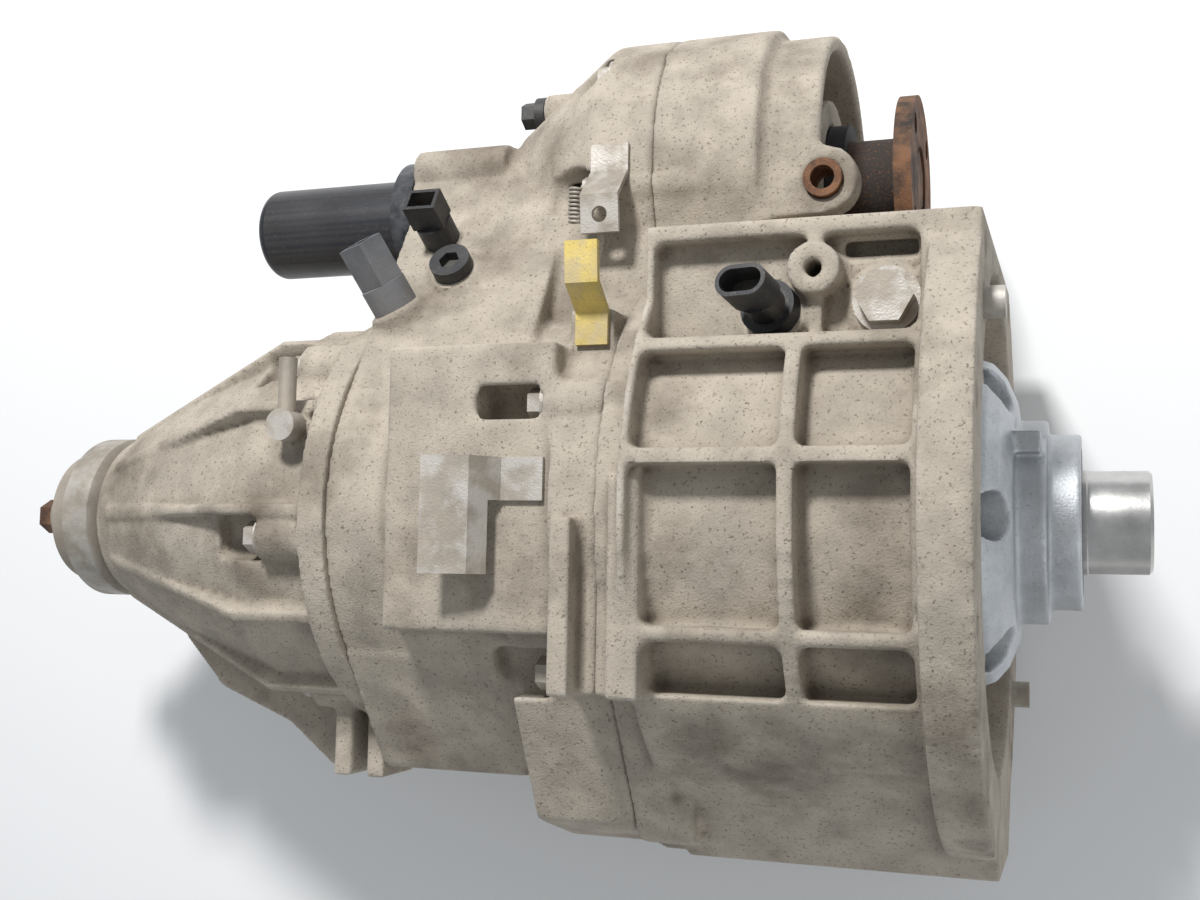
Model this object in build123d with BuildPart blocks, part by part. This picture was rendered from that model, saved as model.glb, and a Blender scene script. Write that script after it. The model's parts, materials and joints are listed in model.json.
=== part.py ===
"""Four-wheel-drive transfer case: a planetary range gear, a chain drive to the front
output, and an electric shift actuator, in three bolted castings.

Frame, in millimetres: +X runs along the main shaft towards the input, +Y points to
the front output shaft, +Z is up. The origin is where the main shaft axis crosses
the adapter mating face. The case lies on its pads, below the shafts.
"""
from build123d import *
from math import acos, atan2, cos, hypot, pi, radians, sin, sqrt, tan
import os

os.makedirs("parts", exist_ok=True)

# ---------------------------------------------------------------- driving dimensions
# stations along the main shaft
joint_x = -166.0          # front case to rear case
tail_joint_x = -311.0     # rear case to extension housing
tail_end_x = -497.0       # open end of the extension housing
stub_end_x = 69.0         # tip of the input shaft
rest_z = -150.0           # plane that the pads stand on

# front output shaft, measured from the main shaft
front_y = 183.0
front_z = -40.0
# shift actuator axis
drum_y = 173.0
drum_z = -20.0
# shift rail axis
rail_y = 60.0
rail_z = 62.0

# fits and play
fit = 0.05                # running fit on a radius
gap = 0.3                 # clear space between parts that move
thread_play = 0.05        # screw shank to its hole, on a radius

# front casting
flange_r = 159.0          # adapter flange
flange_t = 22.0
flange_top_y = 131.0
flange_low_y = -168.0
bolt_circle_r = 146.0     # adapter bolts
bolt_angles = (18, 54, 126, 162)
adapter_hole_r = 5.5
bell_r = 142.0            # crest of the ribs
panel_r = 126.0           # floor of the panels between the ribs
rib_t = 7.0
rib_rows = (73.0, 22.0, -54.0, -84.0)
cross_rib_x = -77.0
mouth_r = 120.0           # open recess behind the adapter face
mouth_depth = 24.0
bulkhead_t = 12.0
case_bore_r = 104.0       # inside of the front casting
joint_flange_t = 16.0
joint_r = 124.0
shelf_z = 92.0            # floor that carries the plug, the boss and the sensor
shelf_wall_z = 104.0
front_case_r = 86.0       # casting round the front output shaft
front_bore_r = 64.0
waist_r = 69.0            # casting round the chain, between the two shafts
waist_bore_r = 61.0
front_wall_x = -112.0     # outer face of the wall that carries the front bearing
front_wall_t = 12.0
shroud_r = 80.0
shroud_t = 8.0
shroud_end_x = -82.0
nose_end_x = -88.0

# rear casting
rear_bore_r = 98.0
rear_wall = 10.0
chain_room_x = -218.0     # back wall of the chain room
cone_start_x = -200.0
cone_end_x = -262.0
cone_slope = 35.0         # degrees
actuator_boss_r = 36.0
actuator_face_x = -318.0
tail_wall_t = 15.0

# extension housing
tail_r = 46.0
tail_root_r = 100.0
tail_flange_r = 111.0
tail_flange_t = 14.0
tail_bolt_r = 97.0
tail_boss_len = 40.0

# rolling bearings: bore radius, outer radius, width
input_bearing = (27.5, 50.0, 19.0)
centre_bearing = (22.0, 45.0, 18.0)
front_bearing = (20.0, 40.0, 18.0)
front_rear_bearing = (17.5, 36.0, 14.0)

# planetary gear set
module = 2.0
sun_teeth = 30
planet_teeth = 12
ring_teeth = sun_teeth + 2 * planet_teeth
planets = 3
pressure_angle = radians(25)
tooth_play = 0.12         # taken off each flank
gear_front_x = -52.0
gear_back_x = -80.0
ring_rim = 7.0
planet_bore_r = 5.1
planet_pin_r = 5.0

# range sleeve and its dogs
dog_teeth = 56
dog_root_r = 22.0
dog_tip_r = 24.0
dog_width = 8.0
dog_play = 0.12
range_travel = 21.0
spline_teeth = 12
spline_root_r = 16.5
spline_tip_r = 18.5
spline_play = 0.15

# chain drive
sprocket_teeth = 34
sprocket_root_r = 50.0
sprocket_tip_r = 54.0
sprocket_x = -212.0
sprocket_w = 34.0
chain_out_r = 59.0
chain_w = 30.0

# shafts
stub_r = 25.0
main_r = 22.0
front_shaft_r = 20.0
rail_r = 8.0
drum_r = 22.0
drum_turn = 210.0         # degrees from high to low range

# companion flange of the front output
front_face_x = -42.0
front_disc_r = 45.5
front_disc_t = 9.0
front_neck_r = 22.0
front_bolt_r = 35.0
front_hole_r = 5.5

# cap screws
screw_r = 5.0
screw_head = 14.0         # across flats
screw_boss_r = 12.0


# ------------------------------------------------------------------------- helpers
def at(x, y=0.0, z=0.0):
    """Sketch plane square to the shafts: local axes are Y and Z, the normal is +X."""
    return Plane(origin=(x, y, z), x_dir=(0, 1, 0), z_dir=(1, 0, 0))


def rod(x0, x1, radius, y=0.0, z=0.0, mode=Mode.ADD):
    """Round bar or bore along X."""
    with BuildSketch(at(x0, y, z)) as section:
        Circle(radius)
    extrude(section.sketch, amount=x1 - x0, mode=mode)


def tube(x0, x1, outer, inner, y=0.0, z=0.0, mode=Mode.ADD):
    """Ring or sleeve along X."""
    with BuildSketch(at(x0, y, z)) as section:
        Circle(outer)
        Circle(inner, mode=Mode.SUBTRACT)
    extrude(section.sketch, amount=x1 - x0, mode=mode)


def block(x0, x1, y0, y1, z0, z1, mode=Mode.ADD):
    """Box between six planes."""
    with BuildSketch(at(x0)) as section:
        with Locations(((y0 + y1) / 2, (z0 + z1) / 2)):
            Rectangle(y1 - y0, z1 - z0)
    extrude(section.sketch, amount=x1 - x0, mode=mode)


def slab(x0, x1, corners, mode=Mode.ADD):
    """Prism along X with a polygon of (y, z) corners."""
    with BuildSketch(at(x0)) as section:
        with BuildLine():
            Polyline(*corners, close=True)
        make_face()
    extrude(section.sketch, amount=x1 - x0, mode=mode)


def strap(x0, x1, r0, centre0, r1, centre1, mode=Mode.ADD):
    """Prism along X round two circles and the two lines that touch both."""
    dy = centre1[0] - centre0[0]
    dz = centre1[1] - centre0[1]
    heading = atan2(dz, dy)
    lean = acos((r0 - r1) / hypot(dy, dz))
    corners = []
    for turn in (lean, -lean):
        unit = (cos(heading + turn), sin(heading + turn))
        near = (centre0[0] + r0 * unit[0], centre0[1] + r0 * unit[1])
        far = (centre1[0] + r1 * unit[0], centre1[1] + r1 * unit[1])
        corners += [near, far] if turn > 0 else [far, near]
    with BuildSketch(at(x0)) as section:
        with BuildLine():
            Polyline(*corners, close=True)
        make_face()
        with Locations(centre0):
            Circle(r0)
        with Locations(centre1):
            Circle(r1)
    extrude(section.sketch, amount=x1 - x0, mode=mode)


def turned(profile, y=0.0, z=0.0, mode=Mode.ADD):
    """Body of revolution about an X axis, from (x, radius) corners."""
    with BuildSketch(Plane(origin=(0, y, z), x_dir=(1, 0, 0), z_dir=(0, 0, 1))) as section:
        with BuildLine():
            Polyline(*profile, close=True)
        make_face()
    revolve(section.sketch, axis=Axis((0, y, z), (1, 0, 0)), mode=mode)


def around(count, radius, first=0.0, y=0.0, z=0.0):
    """Places evenly round a circle in the YZ plane; angles start at +Y."""
    steps = [radians(first + 360 * i / count) for i in range(count)]
    return [(y + radius * cos(a), z + radius * sin(a)) for a in steps]


def toothed(teeth, root_r, tip_r, play, first=0.0):
    """Straight-flanked teeth for splines and dogs; play opens each flank."""
    pitch = 2 * pi / teeth
    points = []
    for i in range(teeth):
        middle = first + i * pitch
        foot = pitch * 0.29 - play / root_r
        crest = pitch * 0.20 - play / tip_r
        for radius, turn in ((root_r, -foot), (tip_r, -crest), (tip_r, crest), (root_r, foot)):
            points.append((radius * cos(middle + turn), radius * sin(middle + turn)))
    return points


def involute(teeth, tip_r, root_r, play, first=0.0):
    """Outline of an involute gear; a negative play gives the space of a ring gear."""
    pitch_r = module * teeth / 2
    base_r = pitch_r * cos(pressure_angle)
    inv_pitch = tan(pressure_angle) - pressure_angle
    flank = []
    steps = 5
    for i in range(steps + 1):
        radius = root_r + (tip_r - root_r) * i / steps
        roll = acos(min(1.0, base_r / radius))
        half = pi / (2 * teeth) + inv_pitch - (tan(roll) - roll) - play / radius
        flank.append((radius, half))
    points = []
    for i in range(teeth):
        middle = first + 2 * pi * i / teeth
        for radius, half in flank:
            points.append((radius * cos(middle - half), radius * sin(middle - half)))
        for radius, half in reversed(flank):
            points.append((radius * cos(middle + half), radius * sin(middle + half)))
    return points


def race_profile(x, width, inner, outer, groove_r, pitch_r, inside):
    """Half section of one bearing ring, with its ball groove."""
    middle = x + width / 2
    reach = abs(pitch_r - (outer if inside else inner))
    half = sqrt(groove_r ** 2 - reach ** 2)
    with BuildLine() as line:
        if inside:
            Line((x, inner), (x + width, inner))
            Line((x + width, inner), (x + width, outer))
            Line((x + width, outer), (middle + half, outer))
            ThreePointArc((middle + half, outer), (middle, pitch_r - groove_r), (middle - half, outer))
            Line((middle - half, outer), (x, outer))
            Line((x, outer), (x, inner))
        else:
            Line((x, outer), (x + width, outer))
            Line((x + width, outer), (x + width, inner))
            Line((x + width, inner), (middle + half, inner))
            ThreePointArc((middle + half, inner), (middle, pitch_r + groove_r), (middle - half, inner))
            Line((middle - half, inner), (x, inner))
            Line((x, inner), (x, outer))
    return line.line


def bearing_ring(x, size, inside, y=0.0, z=0.0):
    """One ring of a deep-groove ball bearing; the outer ring comes with its balls."""
    bore_r, outer_r, width = size
    pitch_r = (bore_r + outer_r) / 2
    ball_r = (outer_r - bore_r) * 0.29
    land = (outer_r - bore_r) * 0.32
    inner, outer = (bore_r, bore_r + land) if inside else (outer_r - land, outer_r)
    axis_plane = Plane(origin=(0, y, z), x_dir=(1, 0, 0), z_dir=(0, 0, 1))
    with BuildPart() as ring:
        with BuildSketch(axis_plane) as section:
            make_face(race_profile(x, width, inner, outer, ball_r + fit, pitch_r, inside))
        revolve(section.sketch, axis=Axis((0, y, z), (1, 0, 0)))
        if not inside:
            for ball_y, ball_z in around(8, pitch_r, 22.5, y, z):
                with Locations((x + width / 2, ball_y, ball_z)):
                    Sphere(ball_r)
    return ring.part


def cap_screws(places, seat_x, facing, grip):
    """Flanged hex screws along X; facing is +1 where the heads look forward."""
    for y, z in places:
        with BuildSketch(at(seat_x, y, z)) as washer:
            Circle(screw_head / 2 + 3)
        extrude(washer.sketch, amount=2.0 * facing)
        with BuildSketch(at(seat_x, y, z)) as head:
            RegularPolygon(screw_head / 2, 6, major_radius=False)
        extrude(head.sketch, amount=9.0 * facing)
        rod(seat_x, seat_x - facing * grip, screw_r - thread_play, y, z)


def finish(part, name):
    """Label a piece and write it."""
    part.label = name
    export_step(part, f"parts/{name}.step")


# ------------------------------------------------------------- places shared by parts
adapter_holes = []
for bolt_angle in bolt_angles:
    for side in (1, -1):
        adapter_holes.append(
            (side * bolt_circle_r * sin(radians(bolt_angle)), bolt_circle_r * cos(radians(bolt_angle)))
        )
main_joint_bolts = [(113.5 * sin(radians(a)), 113.5 * cos(radians(a))) for a in (-42, -90, -138, 180, 140, 26)]
front_joint_bolts = [around(1, 76.0, a, front_y, front_z)[0] for a in (-62, -8, 46, 100)]
low_joint_bolt = [(-139.0, 38.0)]
joint_bolts = main_joint_bolts + front_joint_bolts + low_joint_bolt
tail_bolts = around(6, tail_bolt_r, 98.0)
retainer_bolts = around(6, 70.0, 30.0)
dowels = [(90.0, 97.0), (-90.0, -97.0)]
screw_seat_x = joint_x - 30.0
tail_seat_x = tail_joint_x - tail_boss_len
bulkhead_x = -mouth_depth - bulkhead_t
plug_place = (-41.0, 93.0)
tapped_boss = (-72.0, 107.0)
drain_place = (-110.0, -16.0)
speed_axis = Plane(origin=(-91.0, 89.0, shelf_z), x_dir=(1, 0, 0.23), z_dir=(-8, 9, 35))
range_plane = Plane(origin=(-300.0, 108.0, 62.0), x_dir=(1, 0, 0.5), z_dir=(-14, 34, 20))
detent_plane = Plane(origin=(-272.0, 128.0, 50.5), x_dir=(1, 0, 0), z_dir=(0, 0.504, 0.864))
breather_place = (-337.0, 42.0)
breather_seat_z = 98.0
lug_place = (-80.0, 166.0)
lug_z = (24.0, 40.0)
lug_r = 17.0
lug_bore_r = 9.5
pad_top_z = 113.0
tag_seat_z = 95.0
top_plug_x = -257.0
top_plug_place = (front_y + 57.0, front_z)
upper_seat_z = front_z + front_case_r
drain_seat_z = -128.0
switch_y = 150.0
switch_plane = Plane(origin=(-287.0, switch_y, (rear_bore_r + rear_wall - 0.504 * switch_y) / 0.864), x_dir=(1, 0, 0), z_dir=(0, 0.504, 0.864))


# ==================================================================== 1. front case
with BuildPart() as front_case:
    # adapter flange with its eight bosses
    rod(-flange_t, 0, flange_r)
    # bell between the joint and the flange, with a corner block and a smooth lower plate
    rod(joint_x, -flange_t, bell_r)
    slab(joint_x + joint_flange_t, 0, ((40, 0), (flange_top_y, -70), (flange_top_y, shelf_wall_z), (40, shelf_wall_z)))
    slab(joint_x, 0, ((-84, 114), (flange_low_y, 18), (flange_low_y, -55), (-70, -132), (20, 0)))
    # everything beyond the flat top, and below the feet, is trimmed
    block(joint_x, 1, flange_top_y, 200, -200, 200, mode=Mode.SUBTRACT)
    block(joint_x, 1, -200, 200, -200, rest_z, mode=Mode.SUBTRACT)
    tube(joint_x, joint_x + joint_flange_t, 200, joint_r, mode=Mode.SUBTRACT)
    slab(joint_x, joint_x + joint_flange_t + 2, ((-84, 96), (-152, 52), (flange_low_y, 5), (flange_low_y, -45), (-70, -100), (20, 0)))
    # panels sunk between the ribs, above and below
    for row, next_row in zip(rib_rows, rib_rows[1:]):
        for bay_start, bay_end in ((joint_x + joint_flange_t + 4, cross_rib_x - rib_t / 2), (cross_rib_x + rib_t / 2, -flange_t - 4)):
            for side in (1, -1):
                with BuildSketch(at(bay_start)):
                    with Locations(((row + next_row) / 2, side * 100)):
                        Rectangle(row - next_row - rib_t, 200)
                    Circle(panel_r, mode=Mode.SUBTRACT)
                extrude(amount=bay_end - bay_start, mode=Mode.SUBTRACT)
    # shelf for the plug, the tapped boss and the speed sensor
    block(joint_x + joint_flange_t + 4, -flange_t - 4, rib_rows[0] + rib_t / 2, flange_top_y - 8, shelf_z, 200, mode=Mode.SUBTRACT)
    # housing round the front output shaft
    rod(joint_x, front_wall_x, front_case_r, front_y, front_z)
    strap(joint_x, front_wall_x, waist_r, (0, 0), waist_r - 0.01, (front_y, front_z))
    tube(front_wall_x, shroud_end_x, shroud_r, shroud_r - shroud_t, front_y, front_z)
    # ear that carries the steel bush
    with BuildSketch(Plane.XY.offset(lug_z[0])):
        with Locations(lug_place):
            Circle(lug_r)
        with BuildLine():
            Polyline((lug_place[0], lug_place[1] - lug_r), (lug_place[0], lug_place[1] + lug_r),
                     (front_wall_x - 6, lug_place[1] + 24), (front_wall_x - 6, lug_place[1] - 20), close=True)
        make_face()
    extrude(amount=lug_z[1] - lug_z[0])
    # bosses for the joint screws, the plug, the tapped boss, the sensor and the bearing nose
    for screw_y, screw_z in joint_bolts:
        rod(joint_x, joint_x + 30, screw_boss_r, screw_y, screw_z)
    rod(joint_x, -138, 20, *low_joint_bolt[0])
    with Locations((plug_place[0], plug_place[1], shelf_z - 4)):
        Cylinder(17, 8, align=(Align.CENTER, Align.CENTER, Align.MIN))
    with Locations((tapped_boss[0], tapped_boss[1], shelf_z - 4)):
        Cylinder(12, 20, align=(Align.CENTER, Align.CENTER, Align.MIN))
    block(tapped_boss[0] - 3, tapped_boss[0] + 3, rib_rows[0], tapped_boss[1], shelf_z - 4, shelf_z + 9)
    with Locations((drain_place[0], drain_place[1], drain_seat_z)):
        Cylinder(14, 16, align=(Align.CENTER, Align.CENTER, Align.MIN))
    with BuildSketch(speed_axis.offset(-6)):
        Circle(15)
    extrude(amount=9)
    # right half of the twin ear that straddles the joint
    block(-157, -142, -83, 14, 90, 133)
    block(joint_x, -150, -83, -4, 90, 118)
    # inside: mouth, bulkhead, gear room, ring gear seat, chain room
    rod(-mouth_depth, 1, mouth_r, mode=Mode.SUBTRACT)
    rod(joint_x, bulkhead_x, case_bore_r, mode=Mode.SUBTRACT)
    rod(joint_x, front_wall_x - front_wall_t, front_bore_r, front_y, front_z, mode=Mode.SUBTRACT)
    strap(joint_x, front_wall_x - front_wall_t, waist_bore_r, (0, 0), waist_bore_r - 0.01, (front_y, front_z), mode=Mode.SUBTRACT)
    ring_out_r = module * ring_teeth / 2 + 2.5 + ring_rim
    tube(gear_back_x - 4, bulkhead_x, ring_out_r + 7, ring_out_r)
    rod(bulkhead_x - 1, -mouth_depth + 1, input_bearing[1] + 4, mode=Mode.SUBTRACT)
    # boss for the front end of the shift rail
    tube(gear_back_x - 4, bulkhead_x, rail_r + 6, rail_r + fit, rail_y, rail_z)
    # nose with the bearing seat and the seal seat of the front output
    rod(front_wall_x - front_wall_t, nose_end_x, front_bearing[1] + 7, front_y, front_z)
    rod(front_wall_x - front_wall_t - 1, front_wall_x + 6, front_bearing[1], front_y, front_z, mode=Mode.SUBTRACT)
    rod(front_wall_x, nose_end_x + 1, 33, front_y, front_z, mode=Mode.SUBTRACT)
    # holes
    for hole_y, hole_z in adapter_holes:
        rod(-flange_t - 40, 1, adapter_hole_r, hole_y, hole_z, mode=Mode.SUBTRACT)
    for hole_y, hole_z in dowels:
        rod(-18, 1, 7.0, hole_y, hole_z, mode=Mode.SUBTRACT)
    for hole_y, hole_z in joint_bolts:
        rod(joint_x - 1, joint_x + 26, screw_r, hole_y, hole_z, mode=Mode.SUBTRACT)
    for hole_y, hole_z in retainer_bolts:
        rod(bulkhead_x - 1, -mouth_depth + 1, screw_r, hole_y, hole_z, mode=Mode.SUBTRACT)
    with Locations((plug_place[0], plug_place[1], shelf_z + 4)):
        Hole(10.0, 60)
    with Locations((tapped_boss[0], tapped_boss[1], shelf_z + 16)):
        Hole(4.2, 24)
    with Locations((lug_place[0], lug_place[1], lug_z[1])):
        Hole(lug_bore_r, lug_z[1] - lug_z[0])
    with BuildSketch(speed_axis.offset(-50)):
        Circle(8.0)
    extrude(amount=60, mode=Mode.SUBTRACT)
    with BuildSketch(speed_axis.offset(3)):
        Circle(14)
    extrude(amount=50, mode=Mode.SUBTRACT)
    with Locations((drain_place[0], drain_place[1], -100)):
        Hole(9.0, 60)
finish(front_case.part, "front_case")

# ===================================================================== 2. rear case
with BuildPart() as rear_case:
    rod(joint_x - 24, joint_x, joint_r - 3)
    rod(chain_room_x, joint_x - 24, rear_bore_r + rear_wall + 3)
    slab(chain_room_x, joint_x, ((-84, 92), (-150, 54), (-165, 5), (-165, -45), (-70, -98), (20, 0)))
    rod(cone_start_x, joint_x, front_case_r, front_y, front_z)
    strap(chain_room_x - 8, joint_x, waist_r, (0, 0), waist_r - 0.01, (front_y, front_z))
    cone_drop = (cone_start_x - cone_end_x) * tan(radians(cone_slope))
    turned(((cone_start_x, 0), (cone_start_x, front_case_r), (cone_end_x, front_case_r - cone_drop), (cone_end_x, 0)), front_y, front_z)
    strap(tail_joint_x, chain_room_x, rear_bore_r + rear_wall, (0, 0), actuator_boss_r, (drum_y, drum_z))
    rod(actuator_face_x, tail_joint_x, actuator_boss_r, drum_y, drum_z)
    slab(tail_joint_x, chain_room_x, ((-70, 84), (-132, 38), (-136, -30), (-70, -84)))
    # raised pads, the left half of the twin ear, screw bosses and feet
    block(-276, -190, -57, 78, 60, pad_top_z)
    block(-184, -174, -83, -4, 80, 133)
    block(-174, joint_x, -83, -4, 90, 118)
    for boss_y, boss_z in joint_bolts:
        rod(screw_seat_x, joint_x, screw_boss_r, boss_y, boss_z)
    rod(-318, -262, 14, 196, 0)
    with BuildSketch(range_plane.offset(-30)):
        Circle(15)
    extrude(amount=30)
    with BuildSketch(detent_plane.offset(-12)):
        Circle(14)
    extrude(amount=14)
    block(-190, joint_x - 2, 76, 96, 60, tag_seat_z)
    rod(top_plug_x, -215, 11, *top_plug_place)
    for foot_y in (-62, 62):
        block(-300, -262, foot_y - 16, foot_y + 16, rest_z, -70)
    block(-200, -172, 130, 166, rest_z, -90)
    # inside: chain room, gear room with the drum, bearing seats, screw holes
    rod(chain_room_x, joint_x + 1, rear_bore_r, mode=Mode.SUBTRACT)
    rod(chain_room_x, joint_x + 1, front_bore_r - 3, front_y, front_z, mode=Mode.SUBTRACT)
    strap(chain_room_x, joint_x + 1, waist_bore_r, (0, 0), waist_bore_r - 0.01, (front_y, front_z), mode=Mode.SUBTRACT)
    rod(tail_joint_x + tail_wall_t, chain_room_x + 1, rear_bore_r, mode=Mode.SUBTRACT)
    strap(tail_joint_x + tail_wall_t, chain_room_x - 19, rear_bore_r, (0, 0), actuator_boss_r - 8, (drum_y, drum_z), mode=Mode.SUBTRACT)
    rod(tail_joint_x - 1, tail_joint_x + tail_wall_t + 1, centre_bearing[1], mode=Mode.SUBTRACT)
    rod(chain_room_x - 16, chain_room_x + 1, front_rear_bearing[1], front_y, front_z, mode=Mode.SUBTRACT)
    rod(actuator_face_x - 1, tail_joint_x + tail_wall_t + 1, 12 + gap, drum_y, drum_z, mode=Mode.SUBTRACT)
    tube(tail_joint_x + tail_wall_t - 1, tail_joint_x + tail_wall_t + 14, rail_r + 5, rail_r + fit, rail_y, rail_z)
    rod(tail_joint_x - 1, tail_joint_x + tail_wall_t + 1, rail_r + fit, rail_y, rail_z, mode=Mode.SUBTRACT)
    for hole_y, hole_z in joint_bolts:
        rod(screw_seat_x - 1, joint_x + 1, screw_r, hole_y, hole_z, mode=Mode.SUBTRACT)
        rod(screw_seat_x - 34, screw_seat_x, screw_boss_r, hole_y, hole_z, mode=Mode.SUBTRACT)
    for hole_y, hole_z in tail_bolts:
        rod(tail_joint_x - 1, tail_joint_x + tail_wall_t - 2, screw_r, hole_y, hole_z, mode=Mode.SUBTRACT)
    with BuildSketch(range_plane.offset(-24)):
        Circle(7)
    extrude(amount=25, mode=Mode.SUBTRACT)
    with BuildSketch(range_plane):
        Circle(12 + gap)
    extrude(amount=16, mode=Mode.SUBTRACT)
    with BuildSketch(detent_plane.offset(-8)):
        Circle(8)
    extrude(amount=12, mode=Mode.SUBTRACT)
finish(rear_case.part, "rear_case")

# ============================================================= 3. extension housing
tail_profile = [(tail_joint_x, tail_root_r), (-365, tail_root_r), (-440, 74), (tail_end_x, tail_r)]
with BuildPart() as extension_housing:
    turned([(tail_joint_x, 0)] + tail_profile + [(tail_end_x, 0)])
    rod(tail_joint_x - tail_flange_t, tail_joint_x, tail_flange_r)
    for boss_y, boss_z in tail_bolts:
        rod(tail_seat_x, tail_joint_x, 13, boss_y, boss_z)
    for rib_angle in range(0, 360, 30):
        rib_plane = Plane(origin=(0, 0, 0), x_dir=(1, 0, 0), z_dir=(0, -sin(radians(rib_angle)), cos(radians(rib_angle))))
        with BuildSketch(rib_plane.offset(-3)):
            with BuildLine():
                Polyline((tail_joint_x, 90), (tail_joint_x, 108), (-372, 108), (-485, 54), (-485, 40), close=True)
            make_face()
        extrude(amount=6)
    with BuildSketch(Plane.XY.offset(-4)):
        with BuildLine():
            Polyline((-490, -40), (-436, -98), (-390, -116), (-362, -138), (-330, -138), (-330, -90), close=True)
        make_face()
    extrude(amount=8)
    for ear_x in (-340, tail_joint_x - 10):
        block(ear_x, ear_x + 10, -138, -96, 4, 40)
    turned([(tail_joint_x + 1, 0), (tail_joint_x + 1, tail_root_r - 24), (-360, tail_root_r - 24), (-440, 64), (tail_end_x + 32, 36), (tail_end_x + 32, 0)], mode=Mode.SUBTRACT)
    rod(tail_end_x - 1, tail_end_x + 33, 33, mode=Mode.SUBTRACT)
    rod(tail_joint_x - 6, tail_joint_x + 1, rail_r + gap, rail_y, rail_z, mode=Mode.SUBTRACT)
    with Locations((breather_place[0], breather_place[1], breather_seat_z - 22)):
        Cylinder(9, 22, align=(Align.CENTER, Align.CENTER, Align.MIN))
    for hole_y, hole_z in tail_bolts:
        rod(tail_seat_x - 1, tail_joint_x + 1, screw_r, hole_y, hole_z, mode=Mode.SUBTRACT)
        rod(tail_seat_x - 30, tail_seat_x, screw_boss_r, hole_y, hole_z, mode=Mode.SUBTRACT)
    with Locations((breather_place[0], breather_place[1], breather_seat_z)):
        Hole(4, 14)
finish(extension_housing.part, "extension_housing")

# ================================================= 4. fixed pieces on the castings
retainer_x = -mouth_depth
bearing_x = -13.0
with BuildPart() as input_retainer:
    turned(((retainer_x, 0), (retainer_x, 80), (-10, 80), (-2, 77), (4, 70), (9, 58), (9, 49), (23, 49), (23, 42), (38, 42), (38, 0)))
    block(9, 21, 30, 40, 34, 48)
    rod(retainer_x - 1, bearing_x + input_bearing[2], input_bearing[1], mode=Mode.SUBTRACT)
    rod(0, 27, 33, mode=Mode.SUBTRACT)
    rod(26, 39, 35, mode=Mode.SUBTRACT)
    for hole_y, hole_z in retainer_bolts:
        rod(retainer_x - 1, -14, screw_r, hole_y, hole_z, mode=Mode.SUBTRACT)
        rod(-14, 12, 11, hole_y, hole_z, mode=Mode.SUBTRACT)
finish(input_retainer.part, "input_retainer")

ring_pitch_r = module * ring_teeth / 2
with BuildPart() as ring_gear:
    with BuildSketch(at(gear_back_x)) as ring_face:
        Circle(ring_out_r)
        with BuildLine():
            Polyline(*involute(ring_teeth, ring_pitch_r + 1.2 * module, ring_pitch_r - 0.9 * module, -tooth_play, pi / ring_teeth), close=True)
        make_face(mode=Mode.SUBTRACT)
    extrude(amount=gear_front_x - gear_back_x)
finish(ring_gear.part, "ring_gear")


def ring_piece(name, x0, x1, outer, inner, y=0.0, z=0.0):
    """A plain seal or washer as a piece of its own."""
    with BuildPart() as piece:
        tube(x0, x1, outer, inner, y, z)
    finish(piece.part, name)


ring_piece("input_seal", 28, 38, 35, stub_r + fit)
ring_piece("tail_seal", tail_end_x, tail_end_x + 12, 33, main_r - 2 + fit)
ring_piece("front_output_seal", nose_end_x, nose_end_x + 10, 33, front_neck_r + fit, front_y, front_z)

with BuildPart() as joint_screws:
    cap_screws(joint_bolts, screw_seat_x, -1, 52)
finish(joint_screws.part, "joint_screws")
with BuildPart() as tail_screws:
    cap_screws(tail_bolts, tail_seat_x, -1, 50)
finish(tail_screws.part, "tail_screws")
with BuildPart() as retainer_screws:
    cap_screws(retainer_bolts, -14, 1, 20)
finish(retainer_screws.part, "retainer_screws")
with BuildPart() as dowel_pins:
    for pin_y, pin_z in dowels:
        rod(-18, 9, 7.0, pin_y, pin_z)
finish(dowel_pins.part, "dowel_pins")
with BuildPart() as fill_plug:
    with BuildSketch(Plane.XY.offset(shelf_z + 4)):
        with Locations(plug_place):
            Circle(15)
    extrude(amount=3)
    with BuildSketch(Plane.XY.offset(shelf_z + 7)):
        with Locations(plug_place):
            RegularPolygon(11, 6, major_radius=False)
    extrude(amount=9)
    with BuildSketch(Plane.XY.offset(shelf_z + 4)):
        with Locations(plug_place):
            Circle(10 - thread_play)
    extrude(amount=-14)
finish(fill_plug.part, "fill_plug")
with BuildPart() as lug_bush:
    with Locations((lug_place[0], lug_place[1], lug_z[0] - 2)):
        Cylinder(lug_bore_r, lug_z[1] - lug_z[0] + 5, align=(Align.CENTER, Align.CENTER, Align.MIN))
        Cylinder(6, lug_z[1] - lug_z[0] + 5, align=(Align.CENTER, Align.CENTER, Align.MIN), mode=Mode.SUBTRACT)
finish(lug_bush.part, "lug_bush")
with BuildPart() as speed_sensor:
    for start, length, radius in ((-14, 14, 7.9), (3, 8, 13), (11, 12, 9)):
        with BuildSketch(speed_axis.offset(start)):
            Circle(radius)
        extrude(amount=length + (3 if start < 0 else 0))
    with BuildSketch(speed_axis.offset(23)):
        SlotOverall(24, 15)
    extrude(amount=16)
    with BuildSketch(speed_axis.offset(27)):
        SlotOverall(20, 11)
    extrude(amount=13, mode=Mode.SUBTRACT)
finish(speed_sensor.part, "speed_sensor")
with BuildPart() as range_sensor:
    with BuildSketch(range_plane.offset(-20)):
        Circle(6.9)
    extrude(amount=20)
    with BuildSketch(range_plane):
        Circle(12)
    extrude(amount=14)
    with BuildSketch(range_plane.offset(14)):
        Rectangle(19, 15)
    extrude(amount=24)
    with BuildSketch(range_plane.offset(26)):
        Rectangle(15, 11)
    extrude(amount=13, mode=Mode.SUBTRACT)
finish(range_sensor.part, "range_sensor")
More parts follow.
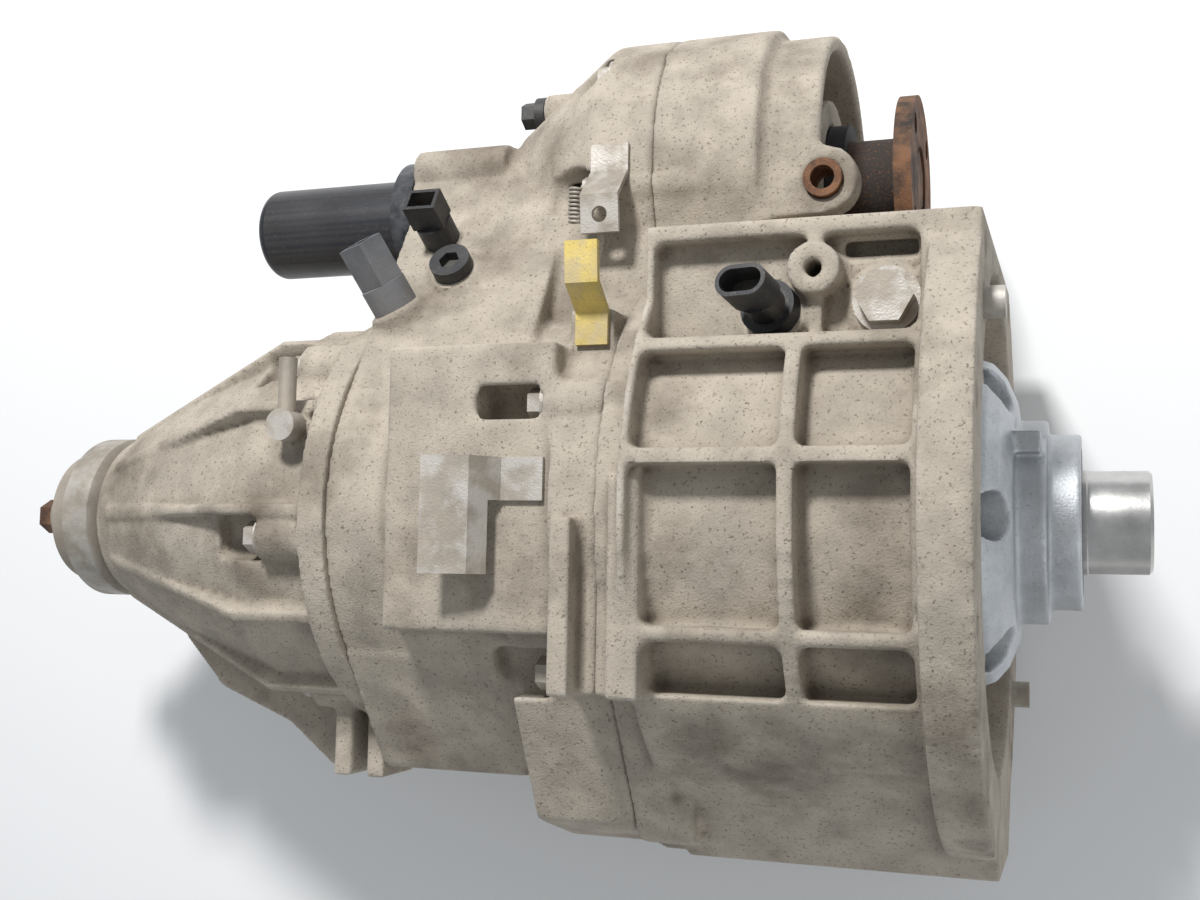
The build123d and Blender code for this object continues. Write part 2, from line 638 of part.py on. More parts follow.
with BuildPart() as detent_plug:
    with BuildSketch(detent_plane.offset(-6)):
        Circle(8 - thread_play)
    extrude(amount=8)
    with BuildSketch(detent_plane.offset(2)):
        Circle(11)
    extrude(amount=7)
    with BuildSketch(detent_plane.offset(9)):
        RegularPolygon(5, 6, major_radius=False)
    extrude(amount=-5, mode=Mode.SUBTRACT)
finish(detent_plug.part, "detent_plug")
with BuildPart() as breather:
    with Locations((breather_place[0], breather_place[1], breather_seat_z - 10)):
        Cylinder(4 - thread_play, 14, align=(Align.CENTER, Align.CENTER, Align.MIN))
    with Locations((breather_place[0], breather_place[1], breather_seat_z)):
        Cylinder(8, 12, align=(Align.CENTER, Align.CENTER, Align.MIN))
    with BuildSketch(Plane(origin=(breather_place[0], breather_place[1], breather_seat_z + 6), x_dir=(1, 0, 0), z_dir=(0, 1, 0))):
        Circle(4.5)
    extrude(amount=34)
finish(breather.part, "breather")
motor_tail_x = -425.0
with BuildPart() as actuator_motor:
    rod(motor_tail_x, actuator_face_x - 12, 26.5, drum_y, drum_z)
    rod(actuator_face_x - 12, actuator_face_x, actuator_boss_r, drum_y, drum_z)
    fillet(actuator_motor.edges().group_by(Axis.X)[0], 6)
    rod(actuator_face_x - 10, actuator_face_x + 1, 9 + gap, drum_y, drum_z, mode=Mode.SUBTRACT)
finish(actuator_motor.part, "actuator_motor")
with BuildPart() as harness_bracket:
    with BuildSketch(Plane(origin=(0, -30, 0), x_dir=(1, 0, 0), z_dir=(0, 1, 0))):
        with BuildLine():
            Polyline((-194, -pad_top_z), (-216, -pad_top_z), (-226, -pad_top_z - 14), (-247, -pad_top_z - 18), (-247, -pad_top_z - 20.5),
                     (-224.5, -pad_top_z - 16.5), (-214.5, -pad_top_z - 2.5), (-194, -pad_top_z - 2.5), close=True)
        make_face()
    extrude(amount=54)
    block(-232, -193, -31, 4, pad_top_z - 1, pad_top_z + 8, mode=Mode.SUBTRACT)
finish(harness_bracket.part, "harness_bracket")
with BuildPart() as upper_bracket:
    top = upper_seat_z
    slab(-198, -178, ((190, top), (190, top + 2.5), (176, top + 2.5), (160, top + 18), (141, top + 15), (141, top + 12.5), (159, top + 15.5), (175, top)))
    with Locations((-188, 150, top + 30)):
        Hole(4, 40)
finish(upper_bracket.part, "upper_bracket")
with BuildPart() as tag_bracket:
    low = tag_seat_z
    slab(-186, -170, ((78, low), (94.5, low), (106, low + 15), (124, low + 17), (124, low + 20), (104.5, low + 18), (93, low + 3), (78, low + 3)))
finish(tag_bracket.part, "tag_bracket")
with BuildPart() as switch_connector:
    with BuildSketch(switch_plane.offset(-1)):
        Circle(10)
    extrude(amount=14)
    with BuildSketch(switch_plane.offset(13)):
        Rectangle(18, 14)
    extrude(amount=16)
    with BuildSketch(switch_plane.offset(18)):
        Rectangle(14, 10)
    extrude(amount=12, mode=Mode.SUBTRACT)
finish(switch_connector.part, "switch_connector")
with BuildPart() as top_plug:
    rod(top_plug_x - 6, top_plug_x, 10, *top_plug_place)
    with BuildSketch(at(top_plug_x - 6, *top_plug_place)):
        RegularPolygon(7, 6, major_radius=False)
    extrude(amount=-9)
finish(top_plug.part, "top_plug")
with BuildPart() as drain_plug:
    with Locations((drain_place[0], drain_place[1], drain_seat_z)):
        Cylinder(9 - thread_play, 14, align=(Align.CENTER, Align.CENTER, Align.MIN))
        Cylinder(13, 3, align=(Align.CENTER, Align.CENTER, Align.MAX))
    with BuildSketch(Plane.XY.offset(drain_seat_z - 3)):
        with Locations(drain_place):
            RegularPolygon(9, 6, major_radius=False)
    extrude(amount=-8)
finish(drain_plug.part, "drain_plug")

# ==================================================================== 5. bearings
bearings = (
    ("input_bearing", bearing_x, input_bearing, 0, 0),
    ("centre_bearing", tail_joint_x, centre_bearing, 0, 0),
    ("front_bearing", front_wall_x - front_wall_t, front_bearing, front_y, front_z),
)
for name, ring_x, size, ring_y, ring_z in bearings:
    finish(bearing_ring(ring_x, size, False, ring_y, ring_z), f"{name}_outer")
    finish(bearing_ring(ring_x, size, True, ring_y, ring_z), f"{name}_inner")

# ============================================================== 6. turning pieces
sun_r = module * sun_teeth / 2
with BuildPart() as input_shaft:
    turned(((stub_end_x, 0), (stub_end_x, stub_r - 2), (stub_end_x - 1.5, stub_r - 0.5), (40.5, stub_r - 0.5), (40, stub_r), (25, stub_r), (25, input_bearing[0]),
            (bearing_x, input_bearing[0]), (bearing_x, 31), (-38, 31), (-38, 26), (gear_front_x, 26), (gear_front_x, 0)))
    with BuildSketch(at(gear_back_x)):
        with BuildLine():
            Polyline(*involute(sun_teeth, sun_r + 0.9 * module, sun_r - 1.2 * module, tooth_play), close=True)
        make_face()
    extrude(amount=gear_front_x - gear_back_x)
    with BuildSketch(at(10)):
        with BuildLine():
            Polyline(*toothed(24, 15.5, 17.5, 0), close=True)
        make_face()
    extrude(amount=stub_end_x - 10, mode=Mode.SUBTRACT)
    rod(-66, 12, 14, mode=Mode.SUBTRACT)
    with BuildSketch(at(gear_back_x)):
        with BuildLine():
            Polyline(*toothed(dog_teeth, dog_root_r + dog_play, dog_tip_r + dog_play, -dog_play), close=True)
        make_face()
    extrude(amount=14, mode=Mode.SUBTRACT)
finish(input_shaft.part, "input_shaft")

planet_centre_r = module * (sun_teeth + planet_teeth) / 2
planet_places = around(planets, planet_centre_r)
plate_x = gear_back_x - dog_width - 2
with BuildPart() as planet_carrier:
    rod(plate_x - 10, plate_x, 52)
    tube(-46, -41, 50, 33)
    for place_y, place_z in around(planets, planet_centre_r, 60):
        rod(plate_x, -46, 7.5, place_y, place_z)
    for place_y, place_z in planet_places:
        rod(plate_x - 10, -41, planet_pin_r, place_y, place_z)
    with BuildSketch(at(plate_x - 10)):
        with BuildLine():
            Polyline(*toothed(dog_teeth, dog_root_r + dog_play, dog_tip_r + dog_play, -dog_play), close=True)
        make_face()
    extrude(amount=10, mode=Mode.SUBTRACT)
finish(planet_carrier.part, "planet_carrier")

planet_r = module * planet_teeth / 2
for number, (place_y, place_z) in enumerate(planet_places):
    phase = radians(360 * number / planets + 180 + 180 / planet_teeth)
    with BuildPart() as planet_gear:
        with BuildSketch(at(gear_back_x, place_y, place_z)):
            with BuildLine():
                Polyline(*involute(planet_teeth, planet_r + 0.9 * module, planet_r - 1.2 * module, tooth_play, phase), close=True)
            make_face()
            Circle(planet_bore_r, mode=Mode.SUBTRACT)
        extrude(amount=gear_front_x - gear_back_x)
    finish(planet_gear.part, f"planet_gear_{number + 1}")

spline_end_x = -152.0
with BuildPart() as main_shaft:
    turned(((-24, 0), (-24, 14 - fit), (-66.5, 14 - fit), (-66.5, spline_root_r), (spline_end_x, spline_root_r), (spline_end_x, main_r),
            (tail_joint_x, main_r), (tail_joint_x, main_r - 2), (-520, main_r - 2), (-520, 0)))
    with BuildSketch(at(spline_end_x)):
        with BuildLine():
            Polyline(*toothed(spline_teeth, spline_root_r, spline_tip_r, 0), close=True)
        make_face()
    extrude(amount=-66.5 - spline_end_x)
    turned(((tail_joint_x + 18, 0), (tail_joint_x + 18, 27), (tail_joint_x + 26, 27), (tail_joint_x + 26, 0)))
finish(main_shaft.part, "main_shaft")


def sprocket(name, bore_r, y, z):
    """Chain wheel with straight-flanked teeth."""
    with BuildPart() as wheel:
        with BuildSketch(at(sprocket_x, y, z)):
            with BuildLine():
                Polyline(*toothed(sprocket_teeth, sprocket_root_r, sprocket_tip_r, 0), close=True)
            make_face()
            Circle(bore_r, mode=Mode.SUBTRACT)
        extrude(amount=sprocket_w)
        for groove_x in (sprocket_x, sprocket_x + sprocket_w - 9):
            tube(groove_x, groove_x + 9, 44, bore_r + 9, y, z, mode=Mode.SUBTRACT)
    finish(wheel.part, name)


sprocket("drive_sprocket", main_r, 0, 0)
sprocket("driven_sprocket", front_shaft_r, front_y, front_z)
chain_x = sprocket_x + (sprocket_w - chain_w) / 2
with BuildPart() as drive_chain:
    strap(chain_x, chain_x + chain_w, chain_out_r, (0, 0), chain_out_r - 0.01, (front_y, front_z))
    strap(chain_x, chain_x + chain_w, sprocket_tip_r + gap, (0, 0), sprocket_tip_r + gap - 0.01, (front_y, front_z), mode=Mode.SUBTRACT)
finish(drive_chain.part, "drive_chain")

with BuildPart() as rear_flange:
    turned(((tail_end_x - 2, 0), (tail_end_x - 2, 40), (-503, 47), (-520, 47), (-524, 38), (-535, 38), (-538, 28), (-556, 15), (-556, 0)))
    rod(-520, tail_end_x - 1, main_r - 2, mode=Mode.SUBTRACT)
finish(rear_flange.part, "rear_flange")
with BuildPart() as rear_nut:
    with BuildSketch(at(-569)):
        RegularPolygon(9, 6, major_radius=False)
    extrude(amount=13)
finish(rear_nut.part, "rear_nut")

front_stub_x = front_face_x - 6
with BuildPart() as front_output_shaft:
    turned(((front_stub_x, 0), (front_stub_x, 14), (nose_end_x - 2, 14), (nose_end_x - 2, front_shaft_r), (-222, front_shaft_r),
            (-222, front_rear_bearing[0]), (-233, front_rear_bearing[0]), (-233, 0)), front_y, front_z)
finish(front_output_shaft.part, "front_output_shaft")
ring_piece("front_rear_bush", -232, -223, front_rear_bearing[1], front_rear_bearing[0] + fit, front_y, front_z)
with BuildPart() as front_flange:
    rod(front_face_x - front_disc_t, front_face_x, front_disc_r, front_y, front_z)
    rod(nose_end_x - 2 + 12, front_face_x, front_neck_r + 2, front_y, front_z)
    rod(nose_end_x - 2, front_face_x, front_neck_r, front_y, front_z)
    rod(nose_end_x - 3, front_face_x + 1, 14, front_y, front_z, mode=Mode.SUBTRACT)
    rod(front_face_x - 6, front_face_x + 1, 19, front_y, front_z, mode=Mode.SUBTRACT)
    for hole_y, hole_z in around(4, front_bolt_r, 45, front_y, front_z):
        rod(front_face_x - front_disc_t - 1, front_face_x + 1, front_hole_r, hole_y, hole_z, mode=Mode.SUBTRACT)
finish(front_flange.part, "front_flange")
with BuildPart() as front_nut:
    with BuildSketch(at(front_stub_x, front_y, front_z)):
        RegularPolygon(15, 6, major_radius=False)
    extrude(amount=5)
finish(front_nut.part, "front_nut")

# ============================================================ 7. range selection
sleeve_front_x = gear_back_x + 10
collar_x = (-126.0, -104.0)
groove_x = (-118.0, -110.0)
with BuildPart() as range_sleeve:
    turned(((sleeve_front_x - dog_width, 0), (sleeve_front_x - dog_width, dog_root_r - 0.2), (collar_x[1], dog_root_r - 0.2), (collar_x[1], 30),
            (groove_x[1], 30), (groove_x[1], 25), (groove_x[0], 25), (groove_x[0], 30), (collar_x[0], 30), (collar_x[0], 0)))
    with BuildSketch(at(sleeve_front_x - dog_width)):
        with BuildLine():
            Polyline(*toothed(dog_teeth, dog_root_r, dog_tip_r, 0.06), close=True)
        make_face()
    extrude(amount=dog_width)
    with BuildSketch(at(collar_x[0])):
        with BuildLine():
            Polyline(*toothed(spline_teeth, spline_root_r + spline_play, spline_tip_r + spline_play, -spline_play), close=True)
        make_face()
    extrude(amount=60, mode=Mode.SUBTRACT)
finish(range_sleeve.part, "range_sleeve")

rail_ends = (-292.0, -46.0)
with BuildPart() as shift_rail:
    rod(rail_ends[0], rail_ends[1], rail_r, rail_y, rail_z)
finish(shift_rail.part, "shift_rail")
fork_x = (groove_x[0] + gap, groove_x[1] - gap)
with BuildPart() as range_fork:
    tube(*fork_x, 40, 25 + gap)
    strap(*fork_x, 12, (rail_y, rail_z), 9, (rail_y * 0.42, rail_z * 0.42))
    tube(fork_x[0] - 8, fork_x[1] + 8, rail_r + 4, rail_r, rail_y, rail_z)
    rod(*fork_x, 25 + gap, mode=Mode.SUBTRACT)
    rod(*fork_x, rail_r, rail_y, rail_z, mode=Mode.SUBTRACT)
    slab(*fork_x, ((20, -60), (-60, 20), (-90, -90)), mode=Mode.SUBTRACT)
finish(range_fork.part, "range_fork")

follower_x = -250.0
reach = hypot(drum_y - rail_y, drum_z - rail_z)
toward = ((drum_y - rail_y) / reach, (drum_z - rail_z) / reach)
arm_plane = Plane(origin=(follower_x, rail_y, rail_z), x_dir=(1, 0, 0), z_dir=(0, toward[0], toward[1]))
with BuildPart() as follower_arm:
    tube(follower_x - 9, follower_x + 9, rail_r + 4, rail_r, rail_y, rail_z)
    with BuildSketch(arm_plane.offset(rail_r + 1)):
        Rectangle(12, 14)
    extrude(amount=reach - drum_r - 2 - rail_r - 1)
    with BuildSketch(arm_plane.offset(reach - drum_r - 3)):
        Circle(5)
    extrude(amount=7)
finish(follower_arm.part, "follower_arm")

groove_steps = 40
with BuildPart() as shift_drum:
    rod(-292, -239, drum_r, drum_y, drum_z)
    rod(actuator_face_x - 8, -292, 9, drum_y, drum_z)
    pin_angle = atan2(-toward[1], -toward[0])
    for step in range(groove_steps + 1):
        share = step / groove_steps
        local = pin_angle - radians(drum_turn) * share
        spot = Plane(origin=(follower_x - range_travel * share, drum_y, drum_z), x_dir=(1, 0, 0), z_dir=(0, cos(local), sin(local)))
        with BuildSketch(spot.offset(drum_r - 6)):
            Circle(5.5)
        extrude(amount=8, mode=Mode.SUBTRACT)
finish(shift_drum.part, "shift_drum")
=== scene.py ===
import bpy
import json
from math import pi
from mathutils import Matrix, Vector


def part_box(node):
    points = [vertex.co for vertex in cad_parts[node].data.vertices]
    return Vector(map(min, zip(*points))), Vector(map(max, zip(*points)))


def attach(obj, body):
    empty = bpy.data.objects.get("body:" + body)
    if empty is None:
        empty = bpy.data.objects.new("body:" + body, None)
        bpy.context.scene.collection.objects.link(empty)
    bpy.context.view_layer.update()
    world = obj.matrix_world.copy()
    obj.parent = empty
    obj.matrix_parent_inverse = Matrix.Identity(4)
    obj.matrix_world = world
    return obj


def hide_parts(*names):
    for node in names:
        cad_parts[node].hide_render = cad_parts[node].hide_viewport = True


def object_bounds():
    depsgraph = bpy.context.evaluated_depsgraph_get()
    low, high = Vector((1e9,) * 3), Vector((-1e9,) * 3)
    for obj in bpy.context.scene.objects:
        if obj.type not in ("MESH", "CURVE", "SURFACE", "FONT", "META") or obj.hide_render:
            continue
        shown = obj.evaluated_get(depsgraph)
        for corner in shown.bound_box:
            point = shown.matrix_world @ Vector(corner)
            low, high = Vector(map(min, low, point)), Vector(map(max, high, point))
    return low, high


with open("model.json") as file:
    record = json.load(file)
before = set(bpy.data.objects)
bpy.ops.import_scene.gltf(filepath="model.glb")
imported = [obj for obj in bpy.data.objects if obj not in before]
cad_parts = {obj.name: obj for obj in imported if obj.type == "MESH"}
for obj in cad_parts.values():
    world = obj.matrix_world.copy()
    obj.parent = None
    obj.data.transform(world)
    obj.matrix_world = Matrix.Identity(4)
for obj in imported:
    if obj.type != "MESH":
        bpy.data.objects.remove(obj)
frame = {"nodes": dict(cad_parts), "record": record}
nodes = frame["nodes"]
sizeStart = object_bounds()
print("frame loaded")


# ---- shader helpers

def newGroup(name, inputs, outputs):
    group = bpy.data.node_groups.new(name, "ShaderNodeTree")
    for label, kind, default in inputs:
        socket = group.interface.new_socket(label, in_out="INPUT", socket_type=kind)
        socket.default_value = default
    for label, kind in outputs:
        group.interface.new_socket(label, in_out="OUTPUT", socket_type=kind)
    return group, group.nodes.new("NodeGroupInput"), group.nodes.new("NodeGroupOutput")


def addNoise(tree, vector, scaleSocket, scale, detail, rough=0.6):
    noise = tree.nodes.new("ShaderNodeTexNoise")
    noise.inputs["Detail"].default_value = detail
    noise.inputs["Roughness"].default_value = rough
    noise.inputs["Scale"].default_value = scale
    if scaleSocket:
        tree.links.new(scaleSocket, noise.inputs["Scale"])
    tree.links.new(vector, noise.inputs["Vector"])
    return noise.outputs["Fac"]


def addRange(tree, value, low, high, outLow=0.0, outHigh=1.0):
    ramp = tree.nodes.new("ShaderNodeMapRange")
    ramp.inputs["From Min"].default_value = low
    ramp.inputs["From Max"].default_value = high
    ramp.inputs["To Min"].default_value = outLow
    ramp.inputs["To Max"].default_value = outHigh
    tree.links.new(value, ramp.inputs["Value"])
    return ramp.outputs["Result"]


def addMath(tree, operation, first, second):
    node = tree.nodes.new("ShaderNodeMath")
    node.operation = operation
    for socket, value in zip(node.inputs, (first, second)):
        if isinstance(value, (int, float)):
            socket.default_value = value
        else:
            tree.links.new(value, socket)
    return node.outputs[0]


def addMix(tree, factor, first, second):
    mix = tree.nodes.new("ShaderNodeMix")
    mix.data_type = "RGBA"
    tree.links.new(factor, mix.inputs["Factor"])
    for socket, value in ((mix.inputs[6], first), (mix.inputs[7], second)):
        if isinstance(value, tuple):
            socket.default_value = value
        else:
            tree.links.new(value, socket)
    return mix.outputs[2]


def makeSurfaceGroup():  # base colour under patches of dirt, fine specks, painted shade in hollows and worn corners
    group, entry, leave = newGroup("worn surface and painted shade", [
        ("Base", "NodeSocketColor", (0.5, 0.5, 0.5, 1)),
        ("Dirt And Shade", "NodeSocketColor", (0.1, 0.08, 0.06, 1)),
        ("Edge", "NodeSocketColor", (0.7, 0.7, 0.7, 1)),
        ("Dirt And Shade Amount", "NodeSocketFloat", 0.5),
        ("Speck Amount", "NodeSocketFloat", 0.5),
        ("Edge Amount", "NodeSocketFloat", 0.5),
        ("Roughness", "NodeSocketFloat", 0.7),
        ("Grain", "NodeSocketFloat", 0.3),
    ], [("Color", "NodeSocketColor"), ("Roughness", "NodeSocketFloat"), ("Normal", "NodeSocketVector")])
    place = group.nodes.new("ShaderNodeTexCoord").outputs["Object"]
    pointiness = group.nodes.new("ShaderNodeNewGeometry").outputs["Pointiness"]
    patches = addRange(group, addNoise(group, place, None, 16, 8), 0.5, 0.72)
    # painted shade: concave hollows (low pointiness) take the dirt colour, darkening recesses as shade would
    hollowShade = addRange(group, pointiness, 0.5, 0.44)
    dirtAndShade = addMath(group, "MULTIPLY", addMath(group, "MAXIMUM", patches, hollowShade), entry.outputs["Dirt And Shade Amount"])
    specks = addRange(group, addNoise(group, place, None, 620, 3, 0.7), 0.585, 0.66)
    specks = addMath(group, "MULTIPLY", specks, entry.outputs["Speck Amount"])
    tone = addRange(group, addNoise(group, place, None, 45, 6), 0.35, 0.65)
    paler = group.nodes.new("ShaderNodeHueSaturation")
    group.links.new(addMath(group, "ADD", addMath(group, "MULTIPLY", tone, 0.3), 0.85), paler.inputs["Value"])
    group.links.new(entry.outputs["Base"], paler.inputs["Color"])
    color = addMix(group, specks, paler.outputs["Color"], entry.outputs["Dirt And Shade"])
    # dirt patches and painted shade in hollows mixed over the base colour
    color = addMix(group, dirtAndShade, color, entry.outputs["Dirt And Shade"])
    wear = addMath(group, "MULTIPLY", addRange(group, pointiness, 0.53, 0.6), addRange(group, addNoise(group, place, None, 70, 5), 0.42, 0.6))
    wear = addMath(group, "MULTIPLY", wear, entry.outputs["Edge Amount"])
    color = addMix(group, wear, color, entry.outputs["Edge"])
    group.links.new(color, leave.inputs["Color"])
    rough = addMath(group, "SUBTRACT", entry.outputs["Roughness"], addMath(group, "MULTIPLY", wear, 0.25))
    group.links.new(addMath(group, "ADD", rough, addMath(group, "MULTIPLY", tone, 0.08)), leave.inputs["Roughness"])
    bump = group.nodes.new("ShaderNodeBump")
    bump.inputs["Distance"].default_value = 0.0006
    group.links.new(entry.outputs["Grain"], bump.inputs["Strength"])
    group.links.new(addNoise(group, place, None, 900, 4), bump.inputs["Height"])
    group.links.new(bump.outputs["Normal"], leave.inputs["Normal"])
    return group


surfaceGroup = makeSurfaceGroup()


def makeMaterial(name, base, dirtAndShade, edge, dirtAndShadeAmount, speckAmount, edgeAmount, roughness, grain, metallic):
    material = bpy.data.materials.new(name)
    material.use_nodes = True
    tree = material.node_tree
    shader = tree.nodes["Principled BSDF"]
    shader.inputs["Metallic"].default_value = metallic
    surface = tree.nodes.new("ShaderNodeGroup")
    surface.node_tree = surfaceGroup
    for label, value in (("Base", base), ("Dirt And Shade", dirtAndShade), ("Edge", edge)):
        surface.inputs[label].default_value = (*value, 1)
    for label, value in (("Dirt And Shade Amount", dirtAndShadeAmount), ("Speck Amount", speckAmount), ("Edge Amount", edgeAmount),
                         ("Roughness", roughness), ("Grain", grain)):
        surface.inputs[label].default_value = value
    tree.links.new(surface.outputs["Color"], shader.inputs["Base Color"])
    tree.links.new(surface.outputs["Roughness"], shader.inputs["Roughness"])
    tree.links.new(surface.outputs["Normal"], shader.inputs["Normal"])
    return material


brown = (0.10, 0.075, 0.05)
paleDust = (0.42, 0.36, 0.29)
bareMetal = (0.62, 0.6, 0.57)
# second colour of each finish: dirt in patches and specks, plus painted shade in hollows where it is darker than
# the base
finishes = {
    "cast_aluminium": makeMaterial("dusty casting", (0.40, 0.35, 0.285), brown, bareMetal, 0.78, 0.75, 0.5, 0.84, 0.8, 0.0),
    "bright_aluminium": makeMaterial("clean casting", (0.56, 0.58, 0.6), (0.2, 0.2, 0.2), bareMetal, 0.25, 0.3, 0.3, 0.45, 0.35, 0.75),
    "machined_steel": makeMaterial("ground steel", (0.55, 0.54, 0.52), (0.22, 0.18, 0.13), bareMetal, 0.3, 0.1, 0.3, 0.26, 0.08, 1.0),
    "dull_steel": makeMaterial("dusty steel", (0.34, 0.3, 0.25), paleDust, bareMetal, 0.6, 0.4, 0.5, 0.6, 0.4, 0.4),
    "rusted_steel": makeMaterial("rusted steel", (0.045, 0.035, 0.03), (0.26, 0.1, 0.035), (0.3, 0.14, 0.06), 0.75, 0.6, 0.5, 0.8, 0.9, 0.2),
    "black_paint": makeMaterial("black enamel", (0.012, 0.014, 0.02), (0.13, 0.11, 0.09), (0.2, 0.2, 0.2), 0.35, 0.25, 0.3, 0.36, 0.15, 0.0),
    "black_plastic": makeMaterial("black nylon", (0.015, 0.015, 0.017), (0.15, 0.13, 0.1), (0.1, 0.1, 0.1), 0.35, 0.3, 0.2, 0.5, 0.3, 0.0),
    "grey_plastic": makeMaterial("grey nylon", (0.12, 0.125, 0.135), (0.25, 0.21, 0.17), (0.25, 0.25, 0.25), 0.4, 0.4, 0.2, 0.55, 0.3, 0.0),
    "seal_rubber": makeMaterial("seal rubber", (0.012, 0.012, 0.012), (0.1, 0.085, 0.07), (0.05, 0.05, 0.05), 0.4, 0.3, 0.1, 0.7, 0.3, 0.0),
}
finishes["tag_yellow"] = makeMaterial("yellow tag paint", (0.62, 0.47, 0.13), (0.2, 0.17, 0.13), paleDust, 0.7, 0.5, 0.5, 0.6, 0.4, 0.0)
ownFinish = {"tag_bracket": "tag_yellow"}  # paint marks that the slots don't tell apart
slotOf = {part["node"]: part["material_slot"] for part in frame["record"]["subparts"]}
for nodeName, nodeObject in nodes.items():
    nodeObject.data.materials.clear()
    nodeObject.data.materials.append(finishes[ownFinish.get(nodeName, slotOf[nodeName])])
print("materials made")


# ---- castings with soft foundry corners

castSizes = {"front_case": 0.0021, "rear_case": 0.0021, "extension_housing": 0.0017, "input_retainer": 0.0012}
mostFaces = 175000


def makeCasting(name, voxel):
    mesh = nodes[name].data.copy()
    casting = bpy.data.objects.new("cast_" + name, mesh)
    bpy.context.collection.objects.link(casting)
    bpy.context.view_layer.objects.active = casting
    casting.select_set(True)
    weld = casting.modifiers.new("weld", "WELD")
    weld.merge_threshold = 0.00001
    remesh = casting.modifiers.new("foundry skin", "REMESH")
    remesh.mode = "VOXEL"
    remesh.voxel_size = voxel
    soften = casting.modifiers.new("soft corners", "SMOOTH")
    soften.factor = 0.5
    soften.iterations = 3
    trim = casting.modifiers.new("lighter mesh", "DECIMATE")
    for modifier in (weld, remesh, soften):
        bpy.ops.object.modifier_apply(modifier=modifier.name)
    triangles = sum(len(face.vertices) - 2 for face in casting.data.polygons)
    trim.ratio = min(1.0, mostFaces / triangles)
    bpy.ops.object.modifier_apply(modifier=trim.name)
    low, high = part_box(name)
    for vertex in casting.data.vertices:  # smoothing never passes the casting's own box
        for axis in range(3):
            vertex.co[axis] = min(max(vertex.co[axis], low[axis]), high[axis])
    for face in casting.data.polygons:
        face.use_smooth = True
    casting.data.materials.clear()
    casting.data.materials.append(finishes[slotOf[name]])
    casting.select_set(False)
    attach(casting, "case")
    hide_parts(name)
    print("cast", name, triangles, len(casting.data.polygons))


for castName, voxelSize in castSizes.items():
    makeCasting(castName, voxelSize)


# ---- wire spring clamp, hooked over the upper bracket

clamp = {"coilRadius": 0.0032, "wireRadius": 0.0008, "length": 0.019, "turns": 9.0}


def makeSpringTree():
    tree = bpy.data.node_groups.new("wire spring", "GeometryNodeTree")
    for label, kind in (("Turns", "NodeSocketFloat"), ("Coil Radius", "NodeSocketFloat"),
                        ("Wire Radius", "NodeSocketFloat"), ("Length", "NodeSocketFloat"), ("Material", "NodeSocketMaterial")):
        tree.interface.new_socket(label, in_out="INPUT", socket_type=kind)
    tree.interface.new_socket("Geometry", in_out="OUTPUT", socket_type="NodeSocketGeometry")
    entry, leave = tree.nodes.new("NodeGroupInput"), tree.nodes.new("NodeGroupOutput")
    spiral = tree.nodes.new("GeometryNodeCurveSpiral")
    spiral.inputs["Resolution"].default_value = 20
    section = tree.nodes.new("GeometryNodeCurvePrimitiveCircle")
    section.inputs["Resolution"].default_value = 10
    wire = tree.nodes.new("GeometryNodeCurveToMesh")
    wire.inputs["Fill Caps"].default_value = True
    realize = tree.nodes.new("GeometryNodeRealizeInstances")
    paint = tree.nodes.new("GeometryNodeSetMaterial")
    links = tree.links
    links.new(entry.outputs["Turns"], spiral.inputs["Rotations"])
    links.new(entry.outputs["Coil Radius"], spiral.inputs["Start Radius"])
    links.new(entry.outputs["Coil Radius"], spiral.inputs["End Radius"])
    links.new(entry.outputs["Length"], spiral.inputs["Height"])
    links.new(entry.outputs["Wire Radius"], section.inputs["Radius"])
    links.new(spiral.outputs["Curve"], wire.inputs["Curve"])
    links.new(section.outputs["Curve"], wire.inputs["Profile Curve"])
    links.new(wire.outputs["Mesh"], realize.inputs["Geometry"])
    links.new(realize.outputs["Geometry"], paint.inputs["Geometry"])
    links.new(entry.outputs["Material"], paint.inputs["Material"])
    links.new(paint.outputs["Geometry"], leave.inputs["Geometry"])
    return tree


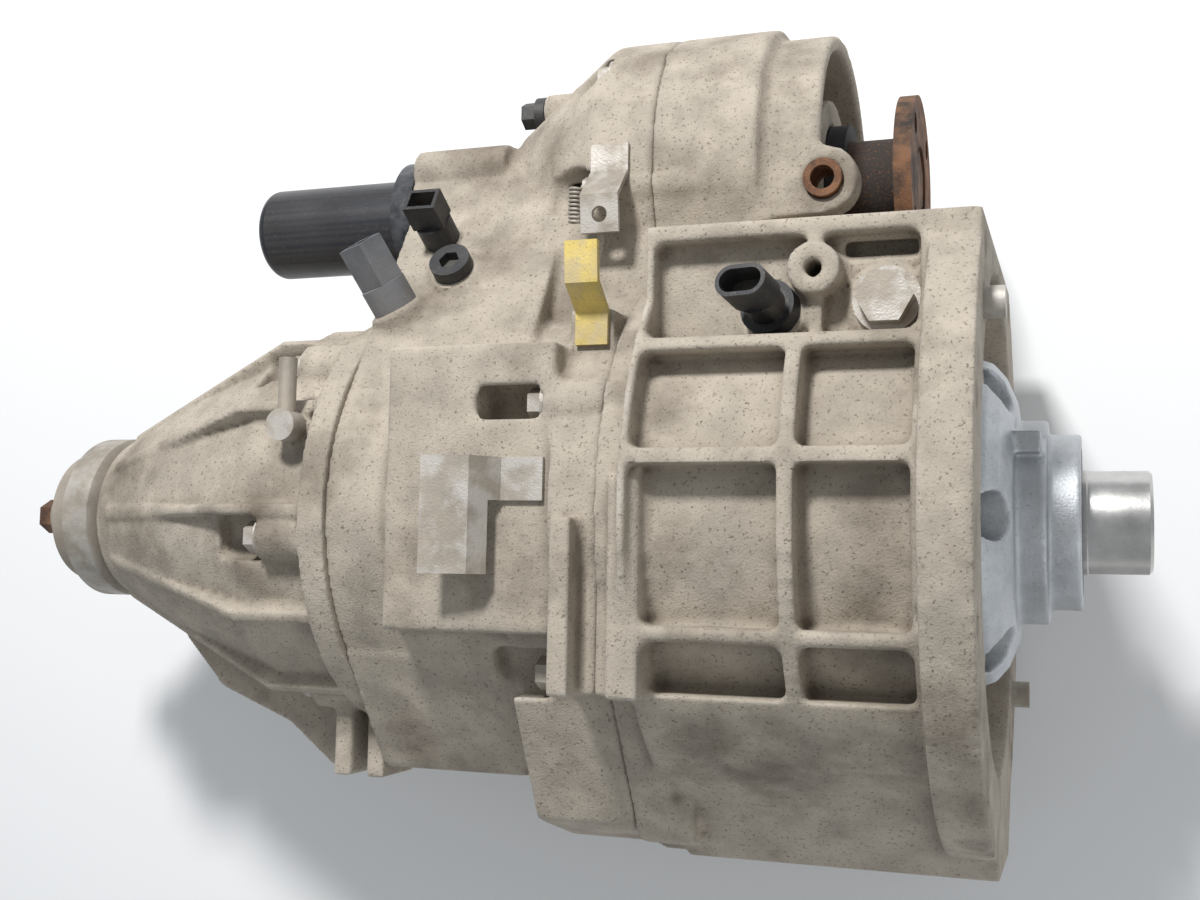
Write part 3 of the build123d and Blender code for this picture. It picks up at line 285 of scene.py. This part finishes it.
def makeClamp():
    carrier = bpy.data.objects.new("clampBuild", bpy.data.meshes.new("clampBuild"))
    bpy.context.collection.objects.link(carrier)
    modifier = carrier.modifiers.new("wire", "NODES")
    modifier.node_group = makeSpringTree()
    values = {"Turns": clamp["turns"], "Coil Radius": clamp["coilRadius"], "Wire Radius": clamp["wireRadius"],
              "Length": clamp["length"], "Material": finishes["dull_steel"]}
    for socket in modifier.node_group.interface.items_tree:
        if socket.in_out == "INPUT":
            modifier[socket.identifier] = values[socket.name]
    mesh = bpy.data.meshes.new_from_object(carrier.evaluated_get(bpy.context.evaluated_depsgraph_get()))
    bpy.data.objects.remove(carrier)
    low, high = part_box("upper_bracket")
    edge = Vector((low.x - clamp["coilRadius"] - clamp["wireRadius"], low.y + 0.006, high.z - 0.006))
    mesh.transform(Matrix.Translation(edge) @ Matrix.Rotation(-pi / 2, 4, "X"))
    spring = bpy.data.objects.new("spring_clamp", mesh)
    bpy.context.collection.objects.link(spring)
    for face in mesh.polygons:
        face.use_smooth = True
    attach(spring, "case")


makeClamp()


# ---- light, floor and camera

def makeStage():
    floorZ = sizeStart[0][2]
    bpy.ops.mesh.primitive_plane_add(size=8, location=(0, 0, floorZ - 0.0005))
    floor = bpy.context.object
    floor.name = "floor"
    paint = bpy.data.materials.new("pale floor")
    paint.use_nodes = True
    paint.node_tree.nodes["Principled BSDF"].inputs["Base Color"].default_value = (0.86, 0.86, 0.86, 1)
    paint.node_tree.nodes["Principled BSDF"].inputs["Roughness"].default_value = 0.9
    floor.data.materials.append(paint)
    world = bpy.data.worlds.new("studio")
    world.use_nodes = True
    world.node_tree.nodes["Background"].inputs["Color"].default_value = (0.9, 0.95, 1.0, 1)
    world.node_tree.nodes["Background"].inputs["Strength"].default_value = 0.45
    bpy.context.scene.world = world
    for lampName, power, size, place in (("key", 24, 0.2, (-0.35, 1.0, 1.1)), ("fill", 5, 1.5, (1.2, -0.8, 1.0))):
        light = bpy.data.lights.new(lampName, "AREA")
        light.energy = power
        light.size = size
        lamp = bpy.data.objects.new(lampName, light)
        lamp.location = place
        lamp.rotation_euler = (Vector((-0.2, 0.03, 0)) - Vector(place)).to_track_quat("-Z", "Y").to_euler()
        bpy.context.collection.objects.link(lamp)


def makeCamera():
    camera = bpy.data.cameras.new("view")
    camera.lens = 42
    camera.sensor_width = 36
    camera.clip_start = 0.01
    holder = bpy.data.objects.new("view", camera)
    right = Vector((0.94303, 0.01912, -0.33217))
    up = Vector((0.01099, 0.99601, 0.08855))
    back = Vector((0.33254, -0.08716, 0.93905))
    turn = Matrix((right, up, back)).transposed().to_4x4()
    holder.matrix_world = Matrix.Translation((0.04338, -0.02821, 0.70759)) @ turn
    bpy.context.collection.objects.link(holder)
    bpy.context.scene.camera = holder


makeStage()
makeCamera()
bpy.context.scene.view_settings.view_transform = "Standard"
print("stage set")
